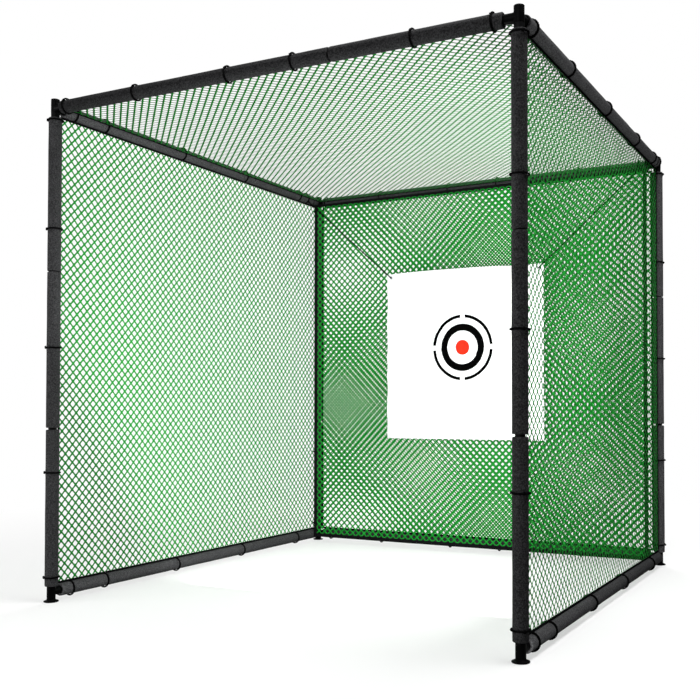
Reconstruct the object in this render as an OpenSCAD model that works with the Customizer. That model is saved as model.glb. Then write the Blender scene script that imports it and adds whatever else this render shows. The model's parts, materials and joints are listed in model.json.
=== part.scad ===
// Golf practice cage: a cube of plug-together steel tube in foam sleeves,
// netted on both sides, the back and the roof and open at the front.
// A second, loose impact net hangs in front of the back net, and a square
// target sheet hangs in front of that on two cords.
// The origin is the centre of the footprint on the floor, +Z is up and the
// open side faces -Y.  All sizes are millimetres.

/* [Cage] */
// Spacing of the post centrelines, left to right
cage_w = 2950; // [2400:10:3500]
// Spacing of the post centrelines, front to back
cage_d = 2950; // [2400:10:3500]
// Spacing of the bottom and top beam centrelines
cage_h = 2888; // [2400:10:3200]
// Height of the bottom beam centrelines above the floor
beam_low = 62; // [58:1:90]

/* [Tube and foam] */
// Outside diameter of the frame tube
tube_d = 50; // [48:0.5:51]
// Wall of the frame tube
tube_wall = 1; // [0.8:0.1:1.5]
// Length of each plug-in spigot
spigot_len = 70; // [50:5:90]
// Outside diameter of the foam sleeves
foam_d = 76; // [70:1:80]

/* [Corner connectors] */
// Reach of a horizontal arm from the corner, to its shoulder
arm_len = 72; // [68:1:90]
// Reach of the upright arm towards the post, to its shoulder
sleeve_in = 28; // [27:1:30]
// Stub above the top beam centreline, cap included
stub_out = 56; // [52:1:80]

/* [Feet] */
// Diameter of the round foot disc
foot_d = 86; // [80:1:100]
// Thickness of the foot disc
foot_t = 8; // [6:1:10]

/* [Ties] */
// Diameter of the tie cord
tie_d = 8; // [6:0.5:8]

/* [Nets] */
// Width of the woven border of the side, roof and back nets
border_w = 12; // [12:1:30]
// Thickness of the border
border_t = 3; // [3:0.5:5]
// Thickness of the netting
net_t = 2; // [1.5:0.5:2.5]

/* [Impact net] */
// Distance of the impact net from the back post centrelines
impact_gap = 141; // [130:1:160]
// Width of the impact net's border
impact_border = 27; // [20:1:40]
// Height of the impact net's lower edge above the floor
impact_low = 47; // [40:1:80]
// Diameter of the rope that carries the impact net
rope_d = 8; // [6:1:8]

/* [Target] */
// Side of the square target sheet
target_side = 1350; // [1000:10:1500]
// Thickness of the target sheet
target_t = 2; // [1.5:0.5:2.5]
// Height of the middle of the target sheet above the floor
target_mid = 1570; // [1400:10:1650]
// Distance of the target sheet from the back post centrelines
target_gap = 225; // [220:1:260]
// Eyelet distance from the sheet's side edge
eyelet_in = 42; // [35:1:60]
// Eyelet distance from the sheet's top edge
eyelet_down = 33; // [28:1:34]
// Diameter of the hanging cords
cord_d = 7; // [4:0.5:7]

/* [Hidden] */
$fn = 64;
cord_fn = 32;

tube_colour = "#17171a";
foam_colour = "#3d3d40";
fitting_colour = "#0e0e10";
tie_colour = "#0a0a0b";
net_colour = "#2fae4b";
cord_colour = "#101012";
sheet_colour = "#f4f4f4";
eyelet_colour = "#b9bcc0";

// Sides of the cage, as signs along X and along Y
left = -1;
right = 1;
front = -1;
back = 1;
beam_high = beam_low + cage_h;

// Tube, and the spigots that plug into it
tube_r = tube_d / 2;
bore_r = tube_r - tube_wall;
plug_r = bore_r - 0.1;
plug_in = plug_r - 1.1;
joint_gap = 0.5;

// Foam sleeves
foam_r = foam_d / 2;
foam_in = tube_r + 0.6;
foam_chamfer = 2.5;

// Upright connector arm, and the feet and caps pushed into its bore
upright_r = tube_r + 0.4;
insert_r = plug_in - 0.1;
insert_tip_r = plug_in - 1.5;
insert_tip = 2;
foot_neck = foot_t + 9;
foot_insert = 24;
cap_t = 5;
cap_insert = 20;
seat_gap = 0.2;

// Ties, and the net edges and holes they set
tie_ring = foam_r + 1 + tie_d / 2;
tie_hole = tie_d / 2 + 0.4;
net_edge = foam_r + 0.15;
net_gap = 0.1;

// Cord loops round the side beams, and their notches in the borders
loop_ring = foam_r + 4.3;
loop_hole = tie_d / 2 + 0.8;
notch_len = 12;

// The impact net's rope is tied to loops that point down and inwards
impact_y = cage_d / 2 - impact_gap;
impact_half = cage_w / 2 - foam_r - 9;
impact_reach = 62;
impact_angle = 60;
impact_z = beam_high - impact_reach * sin(impact_angle);
impact_x = cage_w / 2 - impact_reach * cos(impact_angle);
impact_loop_d = 5;
impact_knot_r = 8;
rope_end_in = 6;
hem_r = 6.5;
hem_bore = rope_d / 2 + 0.1;

// The target's cords run straight from the eyelets to the side beams
target_y = cage_d / 2 - target_gap;
target_top = target_mid + target_side / 2;
eyelet_x = target_side / 2 - eyelet_in;
eyelet_z = target_top - eyelet_down;
target_reach = loop_ring + 4;
target_angle = atan2(beam_high - eyelet_z, cage_w / 2 - eyelet_x);
anchor_x = cage_w / 2 - target_reach * cos(target_angle);
anchor_z = beam_high - target_reach * sin(target_angle);
anchor_knot_r = 8;
cord_front = 8;
// The knot behind each eyelet: its radius and how far back it sits
stop_r = 8;
stop_back = 11.5;
// Eyelet radii, flange thickness, clearance to the sheet, turn about its axis
sheet_hole_r = 8;
eyelet_bore = 6;
eyelet_neck = 7.9;
eyelet_r = 12;
flange_t = 1;
flange_gap = 0.05;
eyelet_turn = 40;

// Tie positions along an edge: one near its start, some at fractions of its
// length, and one near its end where the end has one
function tie_places(length, first, fractions, last = 0) =
  concat([first], [for (f = fractions) f * length], last > 0 ? [length - last] : []);
post_tie_at = tie_places(cage_h, 85, [0.244, 0.502, 0.748], 73);
front_top_tie_at = tie_places(cage_w, 99, [0.2166, 0.4369, 0.5798, 0.8153], 126);
back_top_tie_at = tie_places(cage_w, 82, [0.211, 0.4265, 0.571, 0.798], 133);
back_low_tie_at = tie_places(cage_w, 135, [0.215, 0.43, 0.575, 0.80], 120);
left_top_tie_at = tie_places(cage_d, 140, [0.1353, 0.3861, 0.6315, 0.8838]);
right_top_tie_at = tie_places(cage_d, 146, [0.252, 0.5045, 0.7502], 80);
left_low_tie_at = tie_places(cage_d, 138, [0.1427, 0.3712, 0.6235, 0.8753]);
right_low_tie_at = tie_places(cage_d, 140, [0.134, 0.38, 0.6215, 0.877]);

// Joints between the three tube lengths of an edge, as fractions
post_joints = [0.3341, 0.6596];
cross_joints = [0.3319, 0.6553];
side_joints = [0.344, 0.6665];

// Foam fit on an edge: inset at its start, inset at its end, gap at the
// first joint, gap at the second joint
post_fit = [31, 58, 12, 5];
front_top_fit = [60, 75, 2, 10];
back_top_fit = [62, 66, 3, 6];
left_top_fit = [62, 62, 2, 6];
right_top_fit = [62, 60, 6, 2];
left_low_fit = [60, 62, 3, 5];
right_low_fit = [58, 62, 5, 2];
back_low_fit = [62, 64, 4, 3];

// ---------- placing an edge; its own +Z runs along the edge ----------
module at_corner(x_side, y_side, z) {
  translate([x_side * cage_w / 2, y_side * cage_d / 2, z]) children();
}
module at_post(x_side, y_side) { at_corner(x_side, y_side, beam_low) children(); }
module at_cross(y_side, z) { at_corner(left, y_side, z) rotate([0, 90, 0]) children(); }
module at_side(x_side, z) { at_corner(x_side, front, z) rotate([-90, 0, 0]) children(); }

// Children as drawn, and mirrored to the other side of the cage
module both_sides() {
  children();
  mirror([1, 0, 0]) children();
}

// ---------- tube ----------
// A length whose far end is swaged down to plug into the next length
module plug_length(start, end) {
  rotate_extrude() polygon([
    [bore_r, start], [tube_r, start], [tube_r, end - 4], [plug_r, end],
    [plug_r, end + spigot_len], [plug_in, end + spigot_len],
    [plug_in, end - 2], [bore_r, end - 8]
  ]);
}
module plain_length(start, end) {
  rotate_extrude() polygon([
    [bore_r, start], [tube_r, start], [tube_r, end], [bore_r, end]
  ]);
}
// Three lengths between the shoulders of the connectors at both ends
module tube_run(length, shoulder, joints) {
  inset = shoulder + joint_gap;
  color(tube_colour) {
    plug_length(inset, joints[0] * length);
    plug_length(joints[0] * length + joint_gap, joints[1] * length);
    plain_length(joints[1] * length + joint_gap, length - inset);
  }
}
module post_tube() { tube_run(cage_h, sleeve_in, post_joints); }
module cross_tube() { tube_run(cage_w, arm_len, cross_joints); }
module side_tube() { tube_run(cage_d, arm_len, side_joints); }

// ---------- foam ----------
module sleeve(start, end) {
  rotate_extrude() polygon([
    [foam_in, start], [foam_r - foam_chamfer, start], [foam_r, start + foam_chamfer],
    [foam_r, end - foam_chamfer], [foam_r - foam_chamfer, end], [foam_in, end]
  ]);
}
// Three sleeves along an edge, with gaps at the two joints
module foam_run(length, joints, fit) {
  color(foam_colour) {
    sleeve(fit[0], joints[0] * length - fit[2] / 2);
    sleeve(joints[0] * length + fit[2] / 2, joints[1] * length - fit[3] / 2);
    sleeve(joints[1] * length + fit[3] / 2, length - fit[1]);
  }
}
module post_foam() { foam_run(cage_h, post_joints, post_fit); }
module cross_foam(fit) { foam_run(cage_w, cross_joints, fit); }
module side_foam(fit) { foam_run(cage_d, side_joints, fit); }

// ---------- corner connectors ----------
module arm(r) {
  cylinder(r = r, h = arm_len);
  cylinder(r = plug_r, h = arm_len + spigot_len);
}
module arm_bore(r) { cylinder(r = r, h = arm_len + spigot_len + 1); }

// Upright arm towards +Z, outer end at -out, arms along +X and +Y.  The three
// arms differ slightly in radius so that they blend at clean curves.
module corner(out, x_arm) {
  color(fitting_colour) difference() {
    union() {
      translate([0, 0, -out]) cylinder(r = upright_r, h = out + sleeve_in);
      cylinder(r = plug_r, h = sleeve_in + spigot_len);
      if (x_arm) rotate([0, 90, 0]) arm(tube_r);
      rotate([-90, 0, 0]) arm(tube_r - 0.3);
    }
    translate([0, 0, -out - 1])
      cylinder(r = plug_in, h = out + sleeve_in + spigot_len + 2);
    if (x_arm) rotate([0, 90, 0]) arm_bore(plug_in - 0.4);
    rotate([-90, 0, 0]) arm_bore(plug_in - 0.8);
  }
}
// Turns the arms of a corner towards the middle of the cage
module face_inwards(x_side, y_side) {
  mirror([x_side > 0 ? 1 : 0, 0, 0]) mirror([0, y_side > 0 ? 1 : 0, 0]) children();
}
module low_corner(x_side, y_side, x_arm) {
  at_corner(x_side, y_side, beam_low) face_inwards(x_side, y_side)
    corner(beam_low - foot_neck - seat_gap, x_arm);
}
module high_corner(x_side, y_side) {
  at_corner(x_side, y_side, beam_high) mirror([0, 0, 1]) face_inwards(x_side, y_side)
    corner(stub_out - cap_t - seat_gap, true);
}

// ---------- feet and caps ----------
module foot() {
  insert_top = foot_neck + foot_insert;
  color(fitting_colour) rotate_extrude() polygon([
    [0, 0], [foot_d / 2 - 1.5, 0], [foot_d / 2, 1.5],
    [foot_d / 2, foot_t - 1.5], [foot_d / 2 - 1.5, foot_t],
    [tube_r + 7, foot_t + 1], [tube_r + 2.5, foot_t + 4],
    [upright_r, foot_neck], [insert_r, foot_neck],
    [insert_r, insert_top - insert_tip], [insert_tip_r, insert_top],
    [0, insert_top]
  ]);
}
module at_foot(x_side, y_side) { at_corner(x_side, y_side, 0) foot(); }
module cap() {
  rotate_extrude() polygon([
    [0, -cap_insert], [insert_tip_r, -cap_insert],
    [insert_r, insert_tip - cap_insert], [insert_r, 0],
    [upright_r, 0], [upright_r, cap_t - 3],
    [tube_r - 1, cap_t - 1], [tube_r - 5, cap_t], [0, cap_t]
  ]);
}
module top_caps() {
  color(fitting_colour) for (x_side = [left, right], y_side = [front, back])
    at_corner(x_side, y_side, beam_high + stub_out - cap_t) cap();
}

// ---------- ties ----------
module rings(places) {
  for (place = places) translate([0, 0, place])
    rotate_extrude() translate([tie_ring, 0]) circle(d = tie_d, $fn = cord_fn);
}
module post_ties() {
  color(tie_colour) for (x_side = [left, right], y_side = [front, back])
    at_post(x_side, y_side) rings(post_tie_at);
}
module top_beam_ties() {
  color(tie_colour) {
    at_cross(front, beam_high) rings(front_top_tie_at);
    at_cross(back, beam_high) rings(back_top_tie_at);
    at_side(left, beam_high) rings(left_top_tie_at);
    at_side(right, beam_high) rings(right_top_tie_at);
  }
}
module bottom_beam_ties() {
  color(tie_colour) {
    at_cross(back, beam_low) rings(back_low_tie_at);
    at_side(left, beam_low) rings(left_low_tie_at);
    at_side(right, beam_low) rings(right_low_tie_at);
  }
}

// ---------- nets ----------
// A panel lies in its own XY plane, x from -width/2 to width/2 and y from 0
// to height, between the axes of the four tubes round it.
// A plate over the panel, held back from the tube axes by inset
module panel_plate(width, height, inset, t) {
  translate([-width / 2 + inset, inset, -t / 2])
    cube([width - 2 * inset, height - 2 * inset, t]);
}
module net_panel(width, height) {
  color(net_colour)
    panel_plate(width, height, inset = net_edge + border_w + net_gap, t = net_t);
}
module eye_hole(x, y, r = tie_hole) {
  translate([x, y, -border_t]) cylinder(r = r, h = 2 * border_t);
}
// Ties pass through eyes in the border on each of its four edges; children
// are cut away too
module net_border(width, height, low, high, start, end) {
  color(cord_colour) difference() {
    panel_plate(width, height, inset = net_edge, t = border_t);
    panel_plate(width, height, inset = net_edge + border_w, t = 2 * border_t);
    for (p = low) eye_hole(p - width / 2, tie_ring);
    for (p = high) eye_hole(p - width / 2, height - tie_ring);
    for (p = start) eye_hole(-width / 2 + tie_ring, p);
    for (p = end) eye_hole(width / 2 - tie_ring, p);
    children();
  }
}
// Side panels stand in YZ: panel x runs along +Y, panel y runs up
module at_side_panel(x_side) {
  translate([x_side * cage_w / 2, 0, beam_low]) rotate([90, 0, 90]) children();
}
module at_back_panel() {
  translate([0, cage_d / 2, beam_low]) rotate([90, 0, 0]) children();
}
module at_roof_panel() { translate([0, -cage_d / 2, beam_high]) children(); }

module left_net() { at_side_panel(left) net_panel(cage_d, cage_h); }
module right_net() { at_side_panel(right) net_panel(cage_d, cage_h); }
module roof_net() { at_roof_panel() net_panel(cage_w, cage_d); }
module back_net() { at_back_panel() net_panel(cage_w, cage_h); }

// A cord loop passes through a notch in the border's outer edge
module loop_notch(x, y, dx, dy) {
  hull() {
    eye_hole(x, y, loop_hole);
    eye_hole(x + dx, y + dy, loop_hole);
  }
}
module side_net_border(x_side, low, high) {
  at_side_panel(x_side)
    net_border(cage_d, cage_h, low, high, post_tie_at, post_tie_at)
      for (y = [target_y, impact_y])
        loop_notch(y, cage_h - tie_ring, 0, notch_len);
}
module left_net_border() { side_net_border(left, left_low_tie_at, left_top_tie_at); }
module right_net_border() { side_net_border(right, right_low_tie_at, right_top_tie_at); }
module roof_net_border() {
  at_roof_panel()
    net_border(cage_w, cage_d, front_top_tie_at, back_top_tie_at,
               left_top_tie_at, right_top_tie_at)
      for (side = [left, right], y = [target_y, impact_y])
        loop_notch(side * (cage_w / 2 - tie_ring), y + cage_d / 2, side * notch_len, 0);
}
module back_net_border() {
  at_back_panel()
    net_border(cage_w, cage_h, back_low_tie_at, back_top_tie_at, post_tie_at, post_tie_at);
}

// ---------- cords round a side beam ----------
// Puts children on the left top beam's axis, their XY plane across the beam
// and their +X pointing inwards and down by the given angle.
module across_beam(y, down) {
  translate([-cage_w / 2, y, beam_high]) rotate([90, 0, 0]) rotate([0, 0, -down]) children();
}
// The loop wraps the foam and closes to a point at distance reach from the
// beam's axis, where it is knotted.
module cord_loop(d, reach, knot_r) {
  touch = acos(loop_ring / reach);
  leg = sqrt(reach * reach - loop_ring * loop_ring);
  leg_overlap = 1.5;
  rotate([0, 0, touch]) rotate_extrude(angle = 360 - 2 * touch)
    translate([loop_ring, 0]) circle(d = d, $fn = cord_fn);
  for (side = [-1, 1])
    translate([loop_ring * cos(touch), side * loop_ring * sin(touch), 0]) {
      sphere(d = d + 1.2);
      rotate([0, 0, -side * (90 - touch)]) rotate([0, 90, 0])
        cylinder(d = d, h = leg - knot_r + leg_overlap, $fn = cord_fn);
    }
  translate([reach, 0, 0]) sphere(r = knot_r);
}
// A plain ring of cord with a knot at distance reach
module cord_ring(d, reach, knot_r) {
  rotate_extrude() translate([loop_ring, 0]) circle(d = d, $fn = cord_fn);
  translate([reach, 0, 0]) sphere(r = knot_r);
}

// ---------- impact net ----------
// A cylinder along X, centred on the rope's line
module along_rope(r, half) {
  translate([-half, impact_y, impact_z]) rotate([0, 90, 0])
    cylinder(r = r, h = 2 * half);
}
module impact_net_rope() {
  color(cord_colour) {
    along_rope(rope_d / 2, impact_x - rope_end_in);
    both_sides() across_beam(impact_y, impact_angle)
      cord_loop(impact_loop_d, impact_reach, impact_knot_r);
  }
}
// A flat frame whose top edge is a round hem on the rope
module impact_net_border() {
  flat_top = impact_z - hem_bore - 1;
  color(cord_colour) difference() {
    union() {
      along_rope(hem_r, impact_half);
      translate([-impact_half, impact_y - border_t / 2, impact_low])
        cube([2 * impact_half, border_t, flat_top - impact_low]);
    }
    along_rope(hem_bore, impact_half + 1);
    translate([-impact_half + impact_border, impact_y - border_t,
               impact_low + impact_border])
      cube([2 * (impact_half - impact_border), 2 * border_t,
            impact_z - impact_low - 2 * impact_border]);
  }
}
module impact_net() {
  inset = impact_border + net_gap;
  color(net_colour)
    translate([-impact_half + inset, impact_y - net_t / 2, impact_low + inset])
      cube([2 * (impact_half - inset), net_t, impact_z - impact_low - 2 * inset]);
}

// ---------- target ----------
module target_sheet() {
  color(sheet_colour) difference() {
    translate([-target_side / 2, target_y - target_t / 2, target_top - target_side])
      cube([target_side, target_t, target_side]);
    for (side = [left, right])
      translate([side * eyelet_x, target_y + target_t, eyelet_z])
        rotate([90, 0, 0]) cylinder(r = sheet_hole_r, h = 2 * target_t);
  }
}
// Rolled ring set in the sheet, with a flange on each face
module eyelet() {
  inner = target_t / 2 + flange_gap;
  outer = target_t / 2 + flange_t;
  rotate([90, 0, 0]) rotate([0, 0, eyelet_turn]) rotate_extrude() polygon([
    [eyelet_bore, -outer], [eyelet_r, -outer], [eyelet_r, -inner],
    [eyelet_neck, -inner], [eyelet_neck, inner],
    [eyelet_r, inner], [eyelet_r, outer], [eyelet_bore, outer]
  ]);
}
module target_eyelets() {
  color(eyelet_colour) for (side = [left, right])
    translate([side * eyelet_x, target_y, eyelet_z]) eyelet();
}
// The right cord: it starts under the knot of its loop, runs down in front of
// the sheet, passes through the eyelet and is knotted behind it.
module cord() {
  dx = eyelet_x - anchor_x;
  dz = eyelet_z - anchor_z;
  span = sqrt(dx * dx + cord_front * cord_front + dz * dz);
  gap = anchor_knot_r + 0.4;
  translate([anchor_x, target_y, anchor_z])
    rotate([0, acos(dz / span), atan2(-cord_front, dx)])
      translate([0, 0, gap]) cylinder(d = cord_d, h = span - gap, $fn = cord_fn);
  translate([eyelet_x, target_y - cord_front, eyelet_z]) {
    sphere(d = cord_d + 1.4);
    rotate([-90, 0, 0])
      cylinder(d = cord_d, h = cord_front + stop_back, $fn = cord_fn);
    translate([0, cord_front + stop_back, 0]) sphere(r = stop_r);
  }
}
module target_cord_right() { color(cord_colour) cord(); }
module target_cord_left() { color(cord_colour) mirror([1, 0, 0]) cord(); }
// The knot of each ring faces the sheet's eyelet
module target_cord_loops() {
  color(cord_colour) both_sides() across_beam(target_y, target_angle)
    cord_ring(cord_d, target_reach, anchor_knot_r);
}

// ---------- named edges and corners ----------
module front_left_post_tube() { at_post(left, front) post_tube(); }
module front_right_post_tube() { at_post(right, front) post_tube(); }
module back_left_post_tube() { at_post(left, back) post_tube(); }
module back_right_post_tube() { at_post(right, back) post_tube(); }
module front_top_beam_tube() { at_cross(front, beam_high) cross_tube(); }
module back_top_beam_tube() { at_cross(back, beam_high) cross_tube(); }
module left_top_beam_tube() { at_side(left, beam_high) side_tube(); }
module right_top_beam_tube() { at_side(right, beam_high) side_tube(); }
module left_bottom_beam_tube() { at_side(left, beam_low) side_tube(); }
module right_bottom_beam_tube() { at_side(right, beam_low) side_tube(); }
module back_bottom_beam_tube() { at_cross(back, beam_low) cross_tube(); }

module front_left_post_foam() { at_post(left, front) post_foam(); }
module front_right_post_foam() { at_post(right, front) post_foam(); }
module back_left_post_foam() { at_post(left, back) post_foam(); }
module back_right_post_foam() { at_post(right, back) post_foam(); }
module front_top_beam_foam() { at_cross(front, beam_high) cross_foam(front_top_fit); }
module back_top_beam_foam() { at_cross(back, beam_high) cross_foam(back_top_fit); }
module left_top_beam_foam() { at_side(left, beam_high) side_foam(left_top_fit); }
module right_top_beam_foam() { at_side(right, beam_high) side_foam(right_top_fit); }
module left_bottom_beam_foam() { at_side(left, beam_low) side_foam(left_low_fit); }
module right_bottom_beam_foam() { at_side(right, beam_low) side_foam(right_low_fit); }
module back_bottom_beam_foam() { at_cross(back, beam_low) cross_foam(back_low_fit); }

// The open front has no bottom beam, so its low corners have no X arm
module front_left_bottom_connector() { low_corner(left, front, x_arm = false); }
module front_right_bottom_connector() { low_corner(right, front, x_arm = false); }
module back_left_bottom_connector() { low_corner(left, back, x_arm = true); }
module back_right_bottom_connector() { low_corner(right, back, x_arm = true); }
module front_left_top_connector() { high_corner(left, front); }
module front_right_top_connector() { high_corner(right, front); }
module back_left_top_connector() { high_corner(left, back); }
module back_right_top_connector() { high_corner(right, back); }

module front_left_foot() { at_foot(left, front); }
module front_right_foot() { at_foot(right, front); }
module back_left_foot() { at_foot(left, back); }
module back_right_foot() { at_foot(right, back); }

front_left_post_tube();
front_right_post_tube();
back_left_post_tube();
back_right_post_tube();
front_top_beam_tube();
back_top_beam_tube();
left_top_beam_tube();
right_top_beam_tube();
left_bottom_beam_tube();
right_bottom_beam_tube();
back_bottom_beam_tube();
front_left_post_foam();
front_right_post_foam();
back_left_post_foam();
back_right_post_foam();
front_top_beam_foam();
back_top_beam_foam();
left_top_beam_foam();
right_top_beam_foam();
left_bottom_beam_foam();
right_bottom_beam_foam();
back_bottom_beam_foam();
front_left_bottom_connector();
front_right_bottom_connector();
back_left_bottom_connector();
back_right_bottom_connector();
front_left_top_connector();
front_right_top_connector();
back_left_top_connector();
back_right_top_connector();
front_left_foot();
front_right_foot();
back_left_foot();
back_right_foot();
top_caps();
post_ties();
top_beam_ties();
bottom_beam_ties();
left_net();
right_net();
roof_net();
back_net();
left_net_border();
right_net_border();
roof_net_border();
back_net_border();
impact_net();
impact_net_border();
impact_net_rope();
target_sheet();
target_eyelets();
target_cord_left();
target_cord_right();
target_cord_loops();
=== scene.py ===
import json
import math

import bpy
import numpy as np
from mathutils import Matrix, Vector, noise

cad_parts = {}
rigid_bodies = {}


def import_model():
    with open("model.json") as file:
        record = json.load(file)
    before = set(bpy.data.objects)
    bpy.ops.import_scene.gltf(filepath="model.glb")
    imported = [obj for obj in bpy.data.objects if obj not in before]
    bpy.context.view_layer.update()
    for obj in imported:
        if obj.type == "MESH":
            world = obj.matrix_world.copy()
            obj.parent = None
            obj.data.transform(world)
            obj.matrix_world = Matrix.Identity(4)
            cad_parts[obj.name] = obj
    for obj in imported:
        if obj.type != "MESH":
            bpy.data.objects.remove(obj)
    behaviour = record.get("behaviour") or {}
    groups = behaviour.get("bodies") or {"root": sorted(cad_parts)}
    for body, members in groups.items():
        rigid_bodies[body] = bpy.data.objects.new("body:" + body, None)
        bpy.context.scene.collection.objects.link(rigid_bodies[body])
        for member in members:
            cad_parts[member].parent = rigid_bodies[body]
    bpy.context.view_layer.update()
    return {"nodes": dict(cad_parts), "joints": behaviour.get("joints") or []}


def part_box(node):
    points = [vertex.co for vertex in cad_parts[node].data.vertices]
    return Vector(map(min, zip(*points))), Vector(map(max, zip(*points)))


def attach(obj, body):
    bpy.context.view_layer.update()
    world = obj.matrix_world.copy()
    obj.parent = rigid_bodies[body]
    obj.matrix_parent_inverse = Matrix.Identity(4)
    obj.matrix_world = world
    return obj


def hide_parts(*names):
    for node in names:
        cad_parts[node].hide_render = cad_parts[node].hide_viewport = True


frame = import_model()
NODES = frame["nodes"]
rng = np.random.default_rng(7)
MM = 0.001

# ---------------------------------------------------------------- places
def mid(node):
    lo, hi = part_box(node)
    return (lo + hi) / 2


PX = mid("front_right_foot").x            # post centrelines at x = +-PX
PY = mid("back_left_foot").y              # and y = +-PY
ZB = mid("left_bottom_beam_foam").z       # beam centrelines
ZT = mid("left_top_beam_foam").z
flo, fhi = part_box("left_top_beam_foam")
FOAM_R = (fhi.x - flo.x) / 2
TUBE_R = (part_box("left_top_beam_tube")[1].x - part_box("left_top_beam_tube")[0].x) / 2
imp_lo, imp_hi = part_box("impact_net_border")
Y_IMP = (imp_lo.y + imp_hi.y) / 2
sheet_lo, sheet_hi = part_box("target_sheet")
Y_TGT = (sheet_lo.y + sheet_hi.y) / 2


def islands(node):
    """Vertex coordinates of each loose part of a CAD node."""
    me = NODES[node].data
    n = len(me.vertices)
    co = np.zeros(n * 3)
    me.vertices.foreach_get("co", co)
    co = co.reshape(-1, 3)
    ed = np.zeros(len(me.edges) * 2, int)
    me.edges.foreach_get("vertices", ed)
    ed = ed.reshape(-1, 2)
    # vertices that share a place are one
    _, first = np.unique(np.round(co, 5), axis=0, return_inverse=True)
    first = first.ravel()
    parent = np.arange(first.max() + 1)

    def find(a):
        while parent[a] != a:
            parent[a] = parent[parent[a]]
            a = parent[a]
        return a

    for a, b in first[ed]:
        ra, rb = find(a), find(b)
        if ra != rb:
            parent[max(ra, rb)] = min(ra, rb)
    root = np.array([find(i) for i in range(len(parent))])[first]
    return [co[root == r] for r in np.unique(root)]


# ---------------------------------------------------------------- meshes
def make_mesh(name, verts, quads=None, tris=None, smooth=True):
    """One mesh object from arrays of vertices, quads and triangles."""
    me = bpy.data.meshes.new(name)
    quads = np.zeros((0, 4), np.int32) if quads is None else np.asarray(quads, np.int32)
    tris = np.zeros((0, 3), np.int32) if tris is None else np.asarray(tris, np.int32)
    me.vertices.add(len(verts))
    me.vertices.foreach_set("co", np.asarray(verts, np.float32).ravel())
    me.loops.add(quads.size + tris.size)
    me.loops.foreach_set("vertex_index", np.concatenate([quads.ravel(), tris.ravel()]).astype(np.int32))
    me.polygons.add(len(quads) + len(tris))
    starts = np.concatenate([np.arange(len(quads)) * 4, len(quads) * 4 + np.arange(len(tris)) * 3])
    me.polygons.foreach_set("loop_start", starts.astype(np.int32))
    me.polygons.foreach_set("use_smooth", np.full(len(quads) + len(tris), smooth))
    me.update(calc_edges=True)
    me.validate()
    ob = bpy.data.objects.new(name, me)
    bpy.context.scene.collection.objects.link(ob)
    return ob


class Pile:
    """Collects closed shapes into one mesh, with an optional UV per vertex."""

    def __init__(self):
        self.v, self.q, self.t, self.uv, self.n = [], [], [], [], 0

    def add(self, v, q=None, t=None, uv=None):
        v = np.asarray(v, float)
        self.v.append(v)
        self.uv.append(np.zeros((len(v), 2)) if uv is None else np.asarray(uv, float))
        if q is not None and len(q):
            self.q.append(np.asarray(q) + self.n)
        if t is not None and len(t):
            self.t.append(np.asarray(t) + self.n)
        self.n += len(v)

    def object(self, name, smooth=True, uv=False):
        q = np.concatenate(self.q) if self.q else None
        t = np.concatenate(self.t) if self.t else None
        v = np.concatenate(self.v)
        ob = make_mesh(name, v, q, t, smooth)
        if uv:
            layer = ob.data.uv_layers.new(name="run")
            idx = np.zeros(len(ob.data.loops), int)
            ob.data.loops.foreach_get("vertex_index", idx)
            layer.data.foreach_set("uv", np.concatenate(self.uv)[idx].astype(np.float32).ravel())
        return ob


def grid_faces(nr, nc, wrap_r=False, wrap_c=True, flip=False):
    """Quads of a grid of nr rings of nc points, either way closed or open."""
    r = np.arange(nr if wrap_r else nr - 1)
    c = np.arange(nc if wrap_c else nc - 1)
    R, C = np.meshgrid(r, c, indexing="ij")
    a = R * nc + C
    b = R * nc + (C + 1) % nc
    d = ((R + 1) % nr) * nc + C
    e = ((R + 1) % nr) * nc + (C + 1) % nc
    q = np.stack([a, b, e, d], -1).reshape(-1, 4)
    return q[:, ::-1] if flip else q


def frames(points, closed=False):
    """Tangent and two normals at each point of a path, without twist."""
    p = np.asarray(points, float)
    if closed:
        t = np.roll(p, -1, 0) - np.roll(p, 1, 0)
    else:
        t = np.gradient(p, axis=0)
    t /= np.linalg.norm(t, axis=1)[:, None]
    n = np.zeros_like(p)
    ref = np.array([0, 0, 1.0]) if abs(t[0][2]) < 0.8 else np.array([1.0, 0, 0])
    n[0] = np.cross(ref, t[0])
    n[0] /= np.linalg.norm(n[0])
    for i in range(1, len(p)):
        v = n[i - 1] - t[i] * np.dot(n[i - 1], t[i])
        n[i] = v / np.linalg.norm(v)
    if closed:
        # spread the closing error over the loop
        v = n[-1] - t[0] * np.dot(n[-1], t[0])
        v /= np.linalg.norm(v)
        ang = math.atan2(np.dot(np.cross(v, n[0]), t[0]), np.dot(v, n[0]))
        for i in range(len(p)):
            a = ang * i / len(p)
            c, s = math.cos(a), math.sin(a)
            n[i] = n[i] * c + np.cross(t[i], n[i]) * s
    return t, n, np.cross(t, n)


def lengths(points, closed=False):
    p = np.asarray(points, float)
    d = np.linalg.norm(np.diff(p, axis=0), axis=1)
    return np.concatenate([[0], np.cumsum(d)])


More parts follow.
